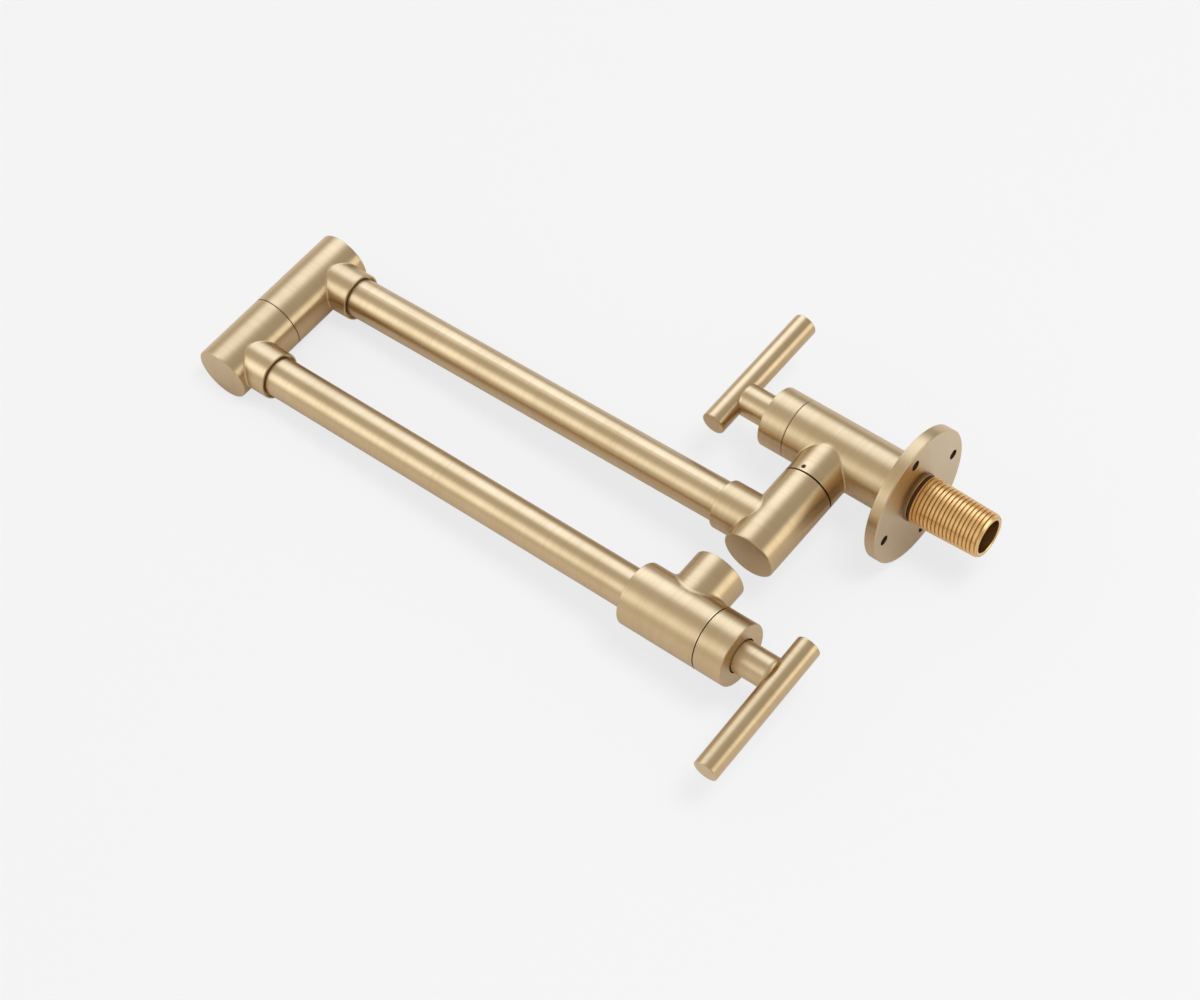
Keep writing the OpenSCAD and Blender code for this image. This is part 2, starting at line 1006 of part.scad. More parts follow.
wall_flange();
inlet_shank();
shank_seal();
inlet_valve_body();
swivel_screw();
inlet_bonnet();
inlet_cartridge_body();
inlet_cartridge_seal();
inlet_cartridge_ring();
inlet_fixed_disc();
inlet_moving_disc();
inlet_spindle();
inlet_spindle_ring();
inlet_spindle_clip();
inlet_handle_hub();
inlet_handle_bar();
inlet_bar_stud();
inlet_grub_screw();
elbow_stub();
elbow_stub_rings();
elbow_washer();
elbow_body();
first_tube();
mid_lower_body();
mid_washer();
mid_stub();
mid_stub_rings();
mid_snap_ring();
mid_upper_body();
second_tube();
outlet_valve_body();
outlet_bonnet();
outlet_cartridge_body();
outlet_cartridge_seal();
outlet_cartridge_ring();
outlet_fixed_disc();
aerator_housing();
aerator_insert();
aerator_washer();
outlet_moving_disc();
outlet_spindle();
outlet_spindle_ring();
outlet_spindle_clip();
outlet_handle_hub();
outlet_handle_bar();
outlet_bar_stud();
outlet_grub_screw();
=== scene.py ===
"""Wall mounted pot filler, as it lies on a pale floor in the photograph.

Lengths are in metres in the part's own frame: the origin is the centre of the
flange's wall face, +Y points into the wall and +Z is up on the mounted part.
In the photograph it lies on its side, so the floor stands nearly square to +X.
"""

import json
import math

import bmesh
import bpy
import numpy as np
from mathutils import Matrix, Vector


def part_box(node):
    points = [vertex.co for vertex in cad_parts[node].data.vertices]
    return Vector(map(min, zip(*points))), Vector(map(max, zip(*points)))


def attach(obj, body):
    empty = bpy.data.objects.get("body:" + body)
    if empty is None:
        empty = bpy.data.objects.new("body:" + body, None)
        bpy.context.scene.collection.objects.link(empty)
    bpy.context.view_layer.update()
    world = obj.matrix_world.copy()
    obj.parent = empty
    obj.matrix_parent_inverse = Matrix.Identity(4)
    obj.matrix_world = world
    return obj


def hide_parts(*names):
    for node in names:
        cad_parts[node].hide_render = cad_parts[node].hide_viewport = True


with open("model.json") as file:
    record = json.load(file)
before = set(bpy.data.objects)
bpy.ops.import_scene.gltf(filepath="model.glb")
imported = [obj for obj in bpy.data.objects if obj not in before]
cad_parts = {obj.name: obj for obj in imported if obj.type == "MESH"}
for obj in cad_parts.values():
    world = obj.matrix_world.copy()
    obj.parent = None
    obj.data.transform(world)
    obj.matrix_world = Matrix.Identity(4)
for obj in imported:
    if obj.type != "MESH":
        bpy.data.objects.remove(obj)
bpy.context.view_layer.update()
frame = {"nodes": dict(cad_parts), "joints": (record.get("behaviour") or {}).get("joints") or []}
MM = 0.001

# Camera, worked out from the photograph's edges and the part's real size

IMAGE_W = 1200  # pixels
FOCAL_PX = 2574.74
SENSOR_W = 36.0  # millimetres, as Blender takes it
CLIP_NEAR = 0.01
CLIP_FAR = 20
CAMERA_PLACE = Vector((-0.854116, 0.345694, 0.489778))
CAMERA_RIGHT = Vector((0.10205017, 0.77125863, -0.62828807))
CAMERA_DOWN = Vector((0.57361107, 0.47039013, 0.67059933))
CAMERA_AHEAD = Vector((0.81274602, -0.42882777, -0.3943991))


def link(obj):
    """Puts an object in the scene and hands it back."""
    bpy.context.scene.collection.objects.link(obj)
    return obj


def make_camera():
    """A pinhole camera: its focal length is FOCAL_PX pixels on an image IMAGE_W wide."""
    data = bpy.data.cameras.new("photo_camera")
    data.sensor_fit = "HORIZONTAL"
    data.sensor_width = SENSOR_W
    data.lens = FOCAL_PX / IMAGE_W * SENSOR_W
    data.clip_start = CLIP_NEAR
    data.clip_end = CLIP_FAR
    camera = link(bpy.data.objects.new("photo_camera", data))
    axes = (CAMERA_RIGHT, -CAMERA_DOWN, -CAMERA_AHEAD)
    turn = Matrix([[axis[row] for axis in axes] for row in range(3)])
    camera.matrix_world = Matrix.Translation(CAMERA_PLACE) @ turn.to_4x4()
    bpy.context.scene.camera = camera


# Sizes of the drawing that the frame's boxes don't give

HOLE_CIRCLE_R = 24.1 * MM
HOLE_R = 2.25 * MM
HOLE_TURN = math.radians(5)
WASHER_INSET = 0.8 * MM  # of the elbow's washer, inside the branch's wall
COLLAR_R = 10.8 * MM
MID_END = 13.75 * MM  # from a mid body's outer end to its tube's axis
SHANK_BORE_R = 7.4 * MM
SHANK_IN_R = 10.2 * MM  # inside the valve body
THREAD_PITCH = 1.814 * MM
THREAD_COUNT = 17
THREAD_R = 10.65 * MM  # over the crests, where the thread starts
THREAD_TAPER = 1 / 32  # radius lost for each unit of length
THREAD_DEPTH = 0.6 * MM
NECK_LEN = 0.9 * MM
END_CHAMFER = 0.9 * MM

# Places and sizes read from the frame

JOINTS = {joint["name"]: joint for joint in frame["joints"]}
ELBOW = Vector(JOINTS["elbow_swivel"]["pos_m"])
MID = Vector(JOINTS["mid_swivel"]["pos_m"])
OUTLET = Vector(JOINTS["outlet_handle_turn"]["pos_m"])
UP = Vector((0, 0, 1))
WALL_AXIS = Vector((0, 1, 0))
ARM_1 = Vector((ELBOW.x - MID.x, ELBOW.y - MID.y, 0)).normalized()
ARM_2 = Vector((OUTLET.x - MID.x, OUTLET.y - MID.y, 0)).normalized()
FLANGE_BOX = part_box("wall_flange")
SHANK_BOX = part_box("inlet_shank")
MID_LOWER_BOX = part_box("mid_lower_body")
MID_UPPER_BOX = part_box("mid_upper_body")
OUTLET_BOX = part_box("outlet_bonnet")
INLET_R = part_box("inlet_bonnet")[1].x
BRANCH_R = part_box("elbow_washer")[1].x + WASHER_INSET
MID_R = (MID_LOWER_BOX[1].x - MID_LOWER_BOX[0].x) / 2
OUTLET_R = (OUTLET_BOX[1].z - OUTLET_BOX[0].z) / 2
TUBE_1_Z = MID_LOWER_BOX[0].z + MID_END
TUBE_2_Z = MID_UPPER_BOX[1].z - MID_END
THREAD_END = SHANK_BOX[1].y
THREAD_START = THREAD_END - THREAD_COUNT * THREAD_PITCH


# Helpers that make shader nodes


class Shader:
    """The nodes of a material, lamp or world, made one call at a time."""

    def __init__(self, owner):
        owner.use_nodes = True
        self.owner = owner
        self.tree = owner.node_tree
        self.tree.nodes.clear()

    def node(self, kind, inputs=(), **settings):
        """Adds a node; inputs maps socket names or numbers to values or to sockets."""
        made = self.tree.nodes.new(kind)
        for key, value in settings.items():
            setattr(made, key, value)
        for key, value in dict(inputs).items():
            socket = made.inputs[key]
            if isinstance(value, bpy.types.NodeSocket):
                self.tree.links.new(value, socket)
            else:
                socket.default_value = value
        return made

    def sums(self, operation, *values):
        """One Math node."""
        return self.node("ShaderNodeMath", enumerate(values), operation=operation).outputs[0]

    def vector(self, operation, *values):
        """One Vector Math node; Dot Product and Length give a number."""
        made = self.node("ShaderNodeVectorMath", enumerate(values), operation=operation)
        number = operation in ("DOT_PRODUCT", "LENGTH")
        return made.outputs["Value" if number else "Vector"]

    def scaled(self, vector, factor):
        """A vector times a number."""
        made = self.node("ShaderNodeVectorMath", {0: vector, "Scale": factor}, operation="SCALE")
        return made.outputs["Vector"]

    def mixed(self, factor, a, b, kind="FLOAT"):
        """A Mix node from a to b."""
        first = {"FLOAT": 2, "VECTOR": 4, "RGBA": 6}[kind]
        result = {"FLOAT": 0, "VECTOR": 1, "RGBA": 2}[kind]
        made = self.node("ShaderNodeMix", {0: factor, first: a, first + 1: b}, data_type=kind)
        return made.outputs[result]

    def noise(self, vector, scale=1.0, detail=2.0, rough=0.5):
        """Noise from 0 to 1 about 0.5."""
        made = self.node(
            "ShaderNodeTexNoise",
            {"Vector": vector, "Scale": scale, "Detail": detail, "Roughness": rough},
        )
        return made.outputs[0]

    def spread(self, value, low, high):
        """Maps 0.25 to 0.75, where noise lies, onto low to high."""
        made = self.node(
            "ShaderNodeMapRange", {0: value, 1: 0.25, 2: 0.75, 3: low, 4: high}, clamp=True
        )
        return made.outputs[0]

    def fall(self, value, start, end):
        """1 up to start, 0 from end on, and a smooth step between them."""
        made = self.node(
            "ShaderNodeMapRange",
            {0: value, 1: start, 2: end, 3: 1.0, 4: 0.0},
            interpolation_type="SMOOTHSTEP",
        )
        return made.outputs[0]

    def seen_rays(self, glossy_share=1.0):
        """1 for camera and transmission rays, glossy_share for glossy rays, 0 for the rest."""
        light = self.node("ShaderNodeLightPath").outputs
        clear = self.sums("MAXIMUM", light["Is Camera Ray"], light["Is Transmission Ray"])
        glossy = self.sums("MULTIPLY", light["Is Glossy Ray"], glossy_share)
        return self.sums("MAXIMUM", clear, glossy)

    def finish(self, surface, kind="Material"):
        """Links the surface to the output of its kind and hands back what it belongs to."""
        self.node("ShaderNodeOutput" + kind, {"Surface": surface})
        return self.owner


# Finishes: the colour on the marks and between them, and the roughness

GOLD = dict(pale=(0.630, 0.470, 0.285, 1), deep=(0.545, 0.385, 0.208, 1), rough=0.33)
PLAIN_BRASS = dict(pale=(0.62, 0.52, 0.32, 1), deep=(0.50, 0.40, 0.23, 1), rough=0.36)
RAW_BRASS = dict(
    pale=(0.87, 0.60, 0.28, 1), deep=(0.71, 0.41, 0.14, 1), rough=0.27, anisotropy=0.2
)
# dark steel of the swivel screw, made darker and browner as painted shade of its hole
DARK_STEEL_AND_HOLE_SHADE = dict(pale=(0.26, 0.17, 0.09, 1), deep=(0.12, 0.07, 0.04, 1), rough=0.4)
BRIGHT_STEEL = dict(pale=(0.58, 0.57, 0.55, 1), deep=(0.5, 0.49, 0.47, 1), rough=0.3)
CERAMIC = dict(pale=(0.86, 0.85, 0.80, 1), deep=(0.80, 0.79, 0.74, 1), rough=0.2)
PLASTIC = dict(pale=(0.74, 0.74, 0.71, 1), deep=(0.66, 0.66, 0.63, 1), rough=0.4)
RUBBER_PALE = (0.020, 0.013, 0.008, 1)
RUBBER_DEEP = (0.010, 0.006, 0.004, 1)
# painted sheen: the flange's wall face is painted paler than its gold
WALL_FACE_SHEEN = (0.68, 0.55, 0.37, 1)
WALL_FACE_SHEEN_DEEP = (0.64, 0.50, 0.32, 1)
# painted shade inside the flange's screw holes, dark brown
HOLE_PAINTED_SHADE = (0.10, 0.055, 0.025, 1)
# painted shade in the nipple's relief groove, neck, roots and bore
RAW_PAINTED_SHADE = (0.11, 0.055, 0.03, 1)

# Brush marks and grain

STREAK_W = 0.3 * MM
STREAK_LEN = 9 * MM
BROAD_SCALE = 0.3  # of the broad marks, where the fine ones have 1
BROAD_SHARE = 0.55
CLOUD = 22 * MM
CLOUD_SHARE = 0.35
MARK_DEPTH = 0.034 * MM
ROUGH_RANGE = 0.09  # the deep marks are rougher than the pale ones by this
# roughness where shade is painted
SHADE_ROUGH = 0.5
END_FACE = 0.8  # cosine of normal and axis from which a face is an end face
RUBBER_GRAIN = 0.5 * MM
RUBBER_DEPTH = 0.05 * MM
RUBBER_BUMP = 0.2
RUBBER_ROUGH = (0.6, 0.8)
RUBBER_GLOSS = 0.08
MOULDED_CLOUD = 3 * MM
MOULDED_RANGE = 0.1
SURE = 0.05 * MM  # a test by place reaches past the surface by this

# Painted shade on the nipple, where 1 is the shade colour alone

NECK_PAINTED_SHADE = 0.7
ROOT_PAINTED_SHADE = 0.14
SHADE_HEIGHT = 0.6  # share of the thread's depth at which the painted shade ends


def brush_direction(shader, axis, branch=None, centre=None, radius=None, face=None):
    """Direction across the brush marks at each point.

    Round walls are brushed round their axis, so the marks lie square to it.
    Where a branch stands out of a barrel, its points lie further from the
    barrel's axis than radius, and there the branch's own axis counts. Flat end
    faces are brushed straight, with the marks square to the direction face.
    """
    coordinate = shader.node("ShaderNodeTexCoord")
    place, normal = coordinate.outputs["Object"], coordinate.outputs["Normal"]
    direction = shader.node("ShaderNodeCombineXYZ", enumerate(axis)).outputs[0]
    if branch is not None:
        offset = shader.vector("SUBTRACT", place, tuple(centre))
        along = shader.vector("DOT_PRODUCT", offset, tuple(axis))
        off_axis = shader.vector("SUBTRACT", offset, shader.scaled(direction, along))
        beyond = shader.sums("GREATER_THAN", shader.vector("LENGTH", off_axis), radius)
        direction = shader.mixed(beyond, direction, tuple(branch), "VECTOR")
    facing = shader.sums("ABSOLUTE", shader.vector("DOT_PRODUCT", normal, direction))
    flat = shader.sums("GREATER_THAN", facing, END_FACE)
    return place, shader.mixed(flat, direction, tuple(face), "VECTOR")


def brushed_metal(
    name, directions, pale, deep, rough, anisotropy=0.8, shade_mask=None, shade_colour=None, back=None
):
    """Metal with fine brush marks that run square to one direction.

    Noise is stretched along the marks: it changes over STREAK_W across them and
    over STREAK_LEN along them. It varies colour, roughness and height. Where the
    mask function gives 1, shade is painted: the metal takes the painted shade
    colour and is duller. The face at y = back is painted paler, a painted sheen.
    """
    shader = Shader(bpy.data.materials.new(name))
    place, across = brush_direction(shader, **directions)
    # Painted sheen: the face at y = back is painted paler.
    if back is not None:
        depth = shader.node("ShaderNodeSeparateXYZ", {0: place}).outputs["Y"]
        behind = shader.sums("GREATER_THAN", depth, back - SURE)
        pale = shader.mixed(behind, pale, WALL_FACE_SHEEN, "RGBA")
        deep = shader.mixed(behind, deep, WALL_FACE_SHEEN_DEEP, "RGBA")
    along = shader.vector("DOT_PRODUCT", place, across)
    squeeze = shader.sums("MULTIPLY", along, 1 / STREAK_W - 1 / STREAK_LEN)
    stretched = shader.vector(
        "ADD", shader.scaled(place, 1 / STREAK_LEN), shader.scaled(across, squeeze)
    )
    fine = shader.noise(stretched, detail=3.0, rough=0.65)
    broad = shader.noise(stretched, BROAD_SCALE)
    cloud = shader.noise(place, 1 / CLOUD)
    marks = shader.mixed(BROAD_SHARE, fine, broad)
    tone = shader.spread(shader.mixed(CLOUD_SHARE, marks, cloud), 0.0, 1.0)
    colour = shader.mixed(tone, deep, pale, "RGBA")
    roughness = shader.sums("MULTIPLY_ADD", tone, -ROUGH_RANGE, rough + ROUGH_RANGE / 2)
    # Painted shade: where the mask gives 1 the colour turns to the shade colour and the metal
    # duller.
    if shade_mask is not None:
        share = shade_mask(shader, place)
        colour = shader.mixed(share, colour, shade_colour, "RGBA")
        roughness = shader.mixed(share, roughness, SHADE_ROUGH)
    height = shader.node(
        "ShaderNodeBump", {"Strength": 1.0, "Distance": MARK_DEPTH, "Height": marks}
    )
    tangent = shader.node(
        "ShaderNodeVectorTransform",
        {"Vector": across},
        vector_type="VECTOR",
        convert_from="OBJECT",
        convert_to="WORLD",
    )
    surface = shader.node(
        "ShaderNodeBsdfPrincipled",
        {
            "Base Color": colour,
            "Metallic": 1.0,
            "Roughness": roughness,
            "Anisotropic": anisotropy,
            "Normal": height.outputs[0],
            "Tangent": tangent.outputs[0],
        },
    )
    return shader.finish(surface.outputs[0])


def satin_gold(name, shade_mask=None, back=None, **directions):
    """The brushed champagne gold coat of all that shows on the mounted part."""
    # A mask, where given, paints the shade of the flange's screw holes.
    return brushed_metal(name, directions, **GOLD, shade_mask=shade_mask, shade_colour=HOLE_PAINTED_SHADE, back=back)


def hole_walls_painted_shade(shader, place):
    """1 on the walls of the flange's screw holes, where their shade is painted dark.

    The holes lie on one circle, turned by HOLE_TURN. Turned back, each is on an
    axis, so the larger of the two distances is along it and the smaller beside it.
    """
    back = shader.node(
        "ShaderNodeVectorRotate",
        {"Vector": place, "Axis": (0, 1, 0), "Angle": -HOLE_TURN},
        rotation_type="AXIS_ANGLE",
    )
    parts = shader.node("ShaderNodeSeparateXYZ", {0: back.outputs[0]}).outputs
    x, z = (shader.sums("ABSOLUTE", parts[axis]) for axis in ("X", "Z"))
    out = shader.sums("SUBTRACT", shader.sums("MAXIMUM", x, z), HOLE_CIRCLE_R)
    apart = shader.node("ShaderNodeCombineXYZ", {0: out, 1: shader.sums("MINIMUM", x, z)})
    distance = shader.vector("LENGTH", apart.outputs[0])
    return shader.sums("LESS_THAN", distance, HOLE_R + SURE)


def nipple_painted_shade(shader, place):
    """Painted shade on the nipple: the groove before its thread most, then its neck.

    The roots and the bore get a little painted shade. On the roots it fades out
    up to the crests, and the end face has none.
    """
    parts = shader.node("ShaderNodeSeparateXYZ", {0: place}).outputs
    apart = shader.node("ShaderNodeCombineXYZ", {0: parts["X"], 1: parts["Z"]})
    radius = shader.vector("LENGTH", apart.outputs[0])
    top = THREAD_R - THREAD_DEPTH + THREAD_START * THREAD_TAPER
    root = shader.sums("MULTIPLY_ADD", parts["Y"], -THREAD_TAPER, top)
    low = shader.fall(shader.sums("SUBTRACT", radius, root), 0.0, SHADE_HEIGHT * THREAD_DEPTH)
    before_end = shader.sums("LESS_THAN", parts["Y"], THREAD_END - END_CHAMFER / 2)
    low = shader.sums("MULTIPLY", low, before_end)
    in_thread = shader.sums("GREATER_THAN", parts["Y"], THREAD_START)
    low = shader.sums("MULTIPLY", low, shader.mixed(in_thread, 1.0, ROOT_PAINTED_SHADE))
    neck = shader.sums("LESS_THAN", parts["Y"], NECK_LEN + SURE)
    return shader.sums("MAXIMUM", low, shader.sums("MULTIPLY", neck, NECK_PAINTED_SHADE))


def rubber(name):
    """Matt black seal rubber with a faint grain."""
    shader = Shader(bpy.data.materials.new(name))
    place = shader.node("ShaderNodeTexCoord").outputs["Object"]
    grain = shader.noise(place, 1 / RUBBER_GRAIN, detail=3.0)
    colour = shader.mixed(grain, RUBBER_DEEP, RUBBER_PALE, "RGBA")
    height = shader.node(
        "ShaderNodeBump", {"Strength": RUBBER_BUMP, "Distance": RUBBER_DEPTH, "Height": grain}
    )
    surface = shader.node(
        "ShaderNodeBsdfPrincipled",
        {
            "Base Color": colour,
            "Roughness": shader.spread(grain, *RUBBER_ROUGH),
            "Specular IOR Level": RUBBER_GLOSS,
            "Normal": height.outputs[0],
        },
    )
    return shader.finish(surface.outputs[0])


def moulded(name, pale, deep, rough):
    """Smooth plastic or fired ceramic with slight clouds in its colour."""
    shader = Shader(bpy.data.materials.new(name))
    place = shader.node("ShaderNodeTexCoord").outputs["Object"]
    cloud = shader.noise(place, 1 / MOULDED_CLOUD)
    half = MOULDED_RANGE / 2
    surface = shader.node(
        "ShaderNodeBsdfPrincipled",
        {
            "Base Color": shader.mixed(cloud, deep, pale, "RGBA"),
            "Roughness": shader.spread(cloud, rough - half, rough + half),
        },
    )
    return shader.finish(surface.outputs[0])


def dress(obj, material):
    """Gives a piece one material."""
    obj.data.materials.clear()
    obj.data.materials.append(material)


# Finishes of the CAD nodes

SLANT = Vector((0.6, 0, 0.8))  # across the marks on the end faces of lying pieces


def dress_cad_nodes():
    """Every CAD node gets its finish, the visible ones brushed about their own axes.

    Hands back the finishes of the pieces that aren't coated.
    """
    nodes = frame["nodes"]
    gold = {
        # The flange takes painted shade in its screw holes and a painted sheen on its wall face.
        "wall_flange": dict(axis=WALL_AXIS, face=UP, shade_mask=hole_walls_painted_shade, back=FLANGE_BOX[1].y),
        "inlet_valve_body": dict(
            axis=WALL_AXIS, branch=UP, centre=Vector(), radius=INLET_R + SURE, face=SLANT
        ),
        "inlet_bonnet": dict(axis=WALL_AXIS, face=SLANT),
        "inlet_handle_hub": dict(axis=WALL_AXIS, face=SLANT),
        "inlet_handle_bar": dict(axis=UP, face=WALL_AXIS),
        "elbow_body": dict(
            axis=UP, branch=ARM_1, centre=ELBOW, radius=BRANCH_R + SURE, face=WALL_AXIS
        ),
        "first_tube": dict(axis=ARM_1, face=SLANT),
        "mid_lower_body": dict(
            axis=UP, branch=ARM_1, centre=MID, radius=MID_R + SURE, face=WALL_AXIS
        ),
        "mid_upper_body": dict(
            axis=UP, branch=ARM_2, centre=MID, radius=MID_R + SURE, face=WALL_AXIS
        ),
        "second_tube": dict(axis=ARM_2, face=SLANT),
        "outlet_valve_body": dict(
            axis=ARM_2, branch=UP, centre=OUTLET, radius=OUTLET_R + SURE, face=SLANT
        ),
        "outlet_bonnet": dict(axis=ARM_2, face=SLANT),
        "outlet_handle_hub": dict(axis=ARM_2, face=SLANT),
        "outlet_handle_bar": dict(axis=UP, face=WALL_AXIS),
    }
    for node, settings in gold.items():
        dress(nodes[node], satin_gold("satin_gold_" + node, **settings))
    upright = dict(axis=UP, face=WALL_AXIS)
    lying = dict(axis=WALL_AXIS, face=UP)
    plain = brushed_metal("plain_brass", upright, **PLAIN_BRASS)
    # The nipple's brass takes painted shade in its groove, neck, roots and bore.
    raw = brushed_metal("raw_brass", lying, **RAW_BRASS, shade_mask=nipple_painted_shade, shade_colour=RAW_PAINTED_SHADE)
    dark_steel_and_hole_shade = brushed_metal("dark_steel_and_hole_shade", lying, **DARK_STEEL_AND_HOLE_SHADE)
    steel = brushed_metal("bright_steel", lying, **BRIGHT_STEEL)
    others = {
        "plain_brass": plain,
        "raw_brass": raw,
        "bright_steel": steel,
        "black_rubber": rubber("black_rubber"),
        "white_ceramic": moulded("white_ceramic", **CERAMIC),
        "white_plastic": moulded("white_plastic", **PLASTIC),
    }
    for name, obj in nodes.items():
        if name not in gold:
            dress(obj, others[obj.data.materials[0].name])
    # The swivel screw: dark steel, made darker and browner as painted shade of the hole it sits in.
    dress(nodes["swivel_screw"], dark_steel_and_hole_shade)
    return others


# New pieces

TURN_STEPS = 96  # once round a turned piece or a cove
MERGE_DISTANCE = 0.001 * MM
SHARP_ANGLE = math.radians(32)
SINK = 0.12 * MM  # how far a ridge or a cove reaches into what carries it


def merge_doubles(mesh):
    """Points that fall together become one, and faces without area go."""
    work = bmesh.new()
    work.from_mesh(mesh)
    bmesh.ops.remove_doubles(work, verts=work.verts, dist=MERGE_DISTANCE)
    work.to_mesh(mesh)
    work.free()


def add_piece(name, points, faces, body, material):
    """Makes one piece from an array of points and a list of faces."""
    mesh = bpy.data.meshes.new(name)
    mesh.from_pydata(points.reshape(-1, 3).tolist(), [], faces)
    merge_doubles(mesh)
    mesh.set_sharp_from_angle(angle=SHARP_ANGLE)
    piece = link(bpy.data.objects.new(name, mesh))
    dress(piece, material)
    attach(piece, body)
    return piece


def grid_faces(rows, columns, start=0, close_rows=True):
    """Four sided faces of a grid of points, which are numbered row by row from start.

    Each row closes on itself, and the last row joins the first if close_rows is set.
    """
    row, column = np.meshgrid(
        np.arange(rows if close_rows else rows - 1), np.arange(columns), indexing="ij"
    )
    after, beside = (row + 1) % rows, (column + 1) % columns
    corners = [(row, column), (after, column), (after, beside), (row, beside)]
    return np.stack([start + r * columns + c for r, c in corners], axis=-1).reshape(-1, 4).tolist()


def turned(outline):
    """A closed outline of (radius, y) points turned round the Y axis.

    The point at angle a is (radius times sine of a, y, radius times cosine of a).
    """
    outline = np.array(outline)
    angle = np.linspace(0, 2 * math.pi, TURN_STEPS, endpoint=False)[:, None]
    radius = outline[:, 0]
    y = np.broadcast_to(outline[:, 1], (TURN_STEPS, len(outline)))
    return np.stack([radius * np.sin(angle), y, radius * np.cos(angle)], axis=-1)


CREST_SHARE = 0.58  # of the pitch
FLANK_SHARE = 0.18  # of the pitch, for each flank
RIDGE_STEPS = 72  # for each turn of the thread
START_RING_W = 0.45 * MM
RIM = 0.25 * MM  # bevel of the nipple's edges


def make_shank(material):
    """The nipple with its real thread: a turned core and one ridge that winds round it.

    The core follows the roots, which taper by THREAD_TAPER, behind a narrow ring
    where the thread begins. The ridge is an outline of a flat crest between two
    flanks, carried along a helix that climbs one pitch a turn. It is cut off square
    at both ends of the thread and by the end chamfer: a point beyond an end moves
    back to it, along the crest and the flanks.
    """
    low, high = SHANK_BOX
    start, end = THREAD_START, THREAD_END
    flange_front = FLANGE_BOX[0].y
    end_r = THREAD_R - (end - start) * THREAD_TAPER - END_CHAMFER
    root_r = THREAD_R - THREAD_DEPTH
    root_end_r = root_r - (end - start) * THREAD_TAPER
    ring_start = start - START_RING_W
    ring_r = THREAD_R + SURE
    core = turned([
        (SHANK_BORE_R, low.y),
        (SHANK_IN_R, low.y),
        (SHANK_IN_R, flange_front),
        (high.x - RIM, flange_front),
        (high.x, flange_front + RIM),
        (high.x, NECK_LEN - RIM),
        (high.x - RIM, NECK_LEN),
        (root_r, NECK_LEN),
        (root_r, ring_start),
        (ring_r - RIM / 2, ring_start),
        (ring_r, ring_start + RIM / 2),
        (ring_r, start),
        (root_r, start + RIM),
        (root_end_r, end - RIM),
        (root_end_r - RIM, end),
        (SHANK_BORE_R + RIM, end),
        (SHANK_BORE_R, end - RIM),
    ])
    half_crest, half_foot = CREST_SHARE / 2, CREST_SHARE / 2 + FLANK_SHARE
    middle = np.linspace(-half_foot, THREAD_COUNT + half_foot, THREAD_COUNT * RIDGE_STEPS + 1)
    middle = middle[:, None]
    across = np.array([-half_foot, -half_foot, -half_crest, half_crest, half_foot, half_foot])
    place = np.clip(middle + across, 0, THREAD_COUNT)
    height = np.clip((half_foot - abs(place - middle)) / FLANK_SHARE, 0, 1) * THREAD_DEPTH
    height[:, [0, -1]] = -SINK
    y = start + place * THREAD_PITCH
    radius = root_r - (y - start) * THREAD_TAPER + height
    chamfer = end_r + (end - y)
    chamfer[:, [0, -1]] -= SINK
    radius = np.minimum(radius, chamfer)
    angle = middle * 2 * math.pi
    ridge = np.stack([radius * np.sin(angle), y, radius * np.cos(angle)], axis=-1)
    count = core.shape[0] * core.shape[1]
    rows, columns = ridge.shape[:2]
    faces = grid_faces(*core.shape[:2])
    faces += grid_faces(rows, columns, count, close_rows=False)
    last = count + (rows - 1) * columns
    faces += [list(range(count, count + columns)), list(range(last + columns - 1, last - 1, -1))]
    points = np.concatenate([core.reshape(-1, 3), ridge.reshape(-1, 3)])
    piece = add_piece("shank_with_thread", points, faces, "wall_side", material)
    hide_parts("inlet_shank")


COVE_STEPS = 8
SPOUT_COVE = 2.3 * MM
SEAM_COVE = 0.8 * MM
SPOUT_SIDE = 0.3  # share of a cove's width beside the barrel's axis, as the next two
BRANCH_SIDE = 0.4
COLLAR_SIDE = 0.5
SINK_GROWTH = 3


def add_cove(name, body, centre, barrel, branch, width, side):
    """A hollow fillet in the corner where a round branch leaves a wider round barrel.

    barrel and branch are (axis, radius), and their axes cross at centre. At angle a
    round the branch the corner lies on the branch's wall, at a height above the
    barrel's axis that is the square root of the barrel's radius squared less the
    distance beside that axis squared. The outline there runs from width up the
    branch, bent by the corner, to width out along the barrel, and closes inside
    both walls. Beside the barrel's axis the width shrinks to the share side, and
    the depth inside the walls is less where the share is less than 1 / SINK_GROWTH.
    """
    (along, barrel_r), (out, branch_r) = barrel, branch
    along, out = np.array(along), np.array(out)
    beside = np.cross(out, along)
    a = np.linspace(0, 2 * math.pi, TURN_STEPS, endpoint=False)[:, None]
    share = side + (1 - side) * np.cos(a) ** 2
    corner = np.sqrt(barrel_r**2 - (branch_r * np.sin(a)) ** 2)
    top = corner + width * share
    far_r = branch_r + width * share
    foot = np.sqrt(np.maximum(barrel_r**2 - (far_r * np.sin(a)) ** 2, 0))
    t = np.linspace(0, 1, COVE_STEPS)[None, :]
    high, bend, low = (1 - t) ** 2, 2 * t * (1 - t), t**2
    radius = (high + bend) * branch_r + low * far_r
    height = high * top + bend * corner + low * foot
    sink = SINK * np.minimum(share * SINK_GROWTH, 1)
    radius = np.hstack([radius, far_r, branch_r - sink, branch_r - sink])[:, ::-1]
    height = np.hstack([height, foot - sink, corner - sink, top])[:, ::-1]
    place = (radius * np.cos(a))[..., None] * along + (radius * np.sin(a))[..., None] * beside
    place = np.array(centre) + place + height[..., None] * out
    material = satin_gold("satin_gold_" + name, axis=branch[0], face=SLANT)
    add_piece(name, place, grid_faces(*place.shape[:2]), body, material)


